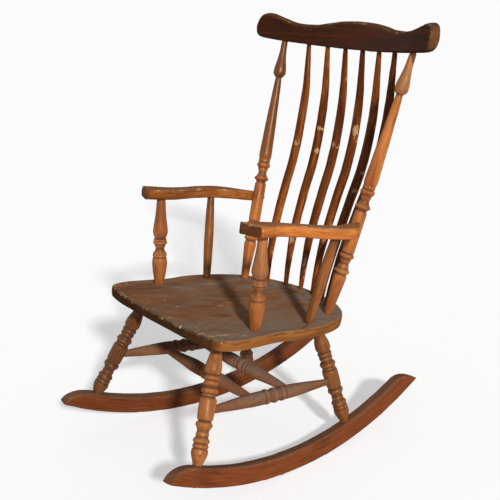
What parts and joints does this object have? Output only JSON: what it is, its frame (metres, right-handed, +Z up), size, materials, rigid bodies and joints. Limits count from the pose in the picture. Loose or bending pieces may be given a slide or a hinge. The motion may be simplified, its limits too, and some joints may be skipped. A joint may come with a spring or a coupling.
{
  "type": "rocking chair",
  "caption": "High-backed wooden rocking chair with a plank seat, turned legs and posts, bent spindles, a shaped crest rail and curved arms.",
  "frame": {"origin": "middle of the bounding box, on the floor under the rockers", "axes": "+Z up, the sitter faces -Y, the chair's own left-hand side as the sitter sees it is +X"},
  "size_m": [0.6792, 0.861, 1.0943],
  "materials": {
    "seat_wood": "worn",
    "rocker_wood": "satin",
    "turned_wood": "gloss varnish",
    "pin_wood": "plain",
    "stretcher_wood": "worn",
    "crest_wood": "satin",
    "spindle_wood": "satin",
    "arm_wood": "satin"
  },
  "bodies": {
    "root": {"seat": "seat_wood", "rocker_right": "rocker_wood", "rocker_left": "rocker_wood", "leg_front_right": "turned_wood", "leg_front_left": "turned_wood", "leg_rear_right": "turned_wood", "leg_rear_left": "turned_wood", "rocker_pin_front_right": "pin_wood", "rocker_pin_front_left": "pin_wood", "rocker_pin_rear_right": "pin_wood", "rocker_pin_rear_left": "pin_wood", "side_stretcher_right": "stretcher_wood", "side_stretcher_left": "stretcher_wood", "cross_stretcher_front": "stretcher_wood", "cross_stretcher_rear": "stretcher_wood", "crest_rail": "crest_wood", "back_post_right": "turned_wood", "back_post_left": "turned_wood", "back_spindle_1": "spindle_wood", "back_spindle_2": "spindle_wood", "back_spindle_3": "spindle_wood", "back_spindle_4": "spindle_wood", "back_spindle_5": "spindle_wood", "back_spindle_6": "spindle_wood", "arm_right": "arm_wood", "arm_left": "arm_wood", "arm_dowel_right": "pin_wood", "arm_dowel_left": "pin_wood", "arm_post_right": "turned_wood", "arm_post_left": "turned_wood", "arm_spindle_right": "spindle_wood", "arm_spindle_left": "spindle_wood"}
  },
  "joints": []
}
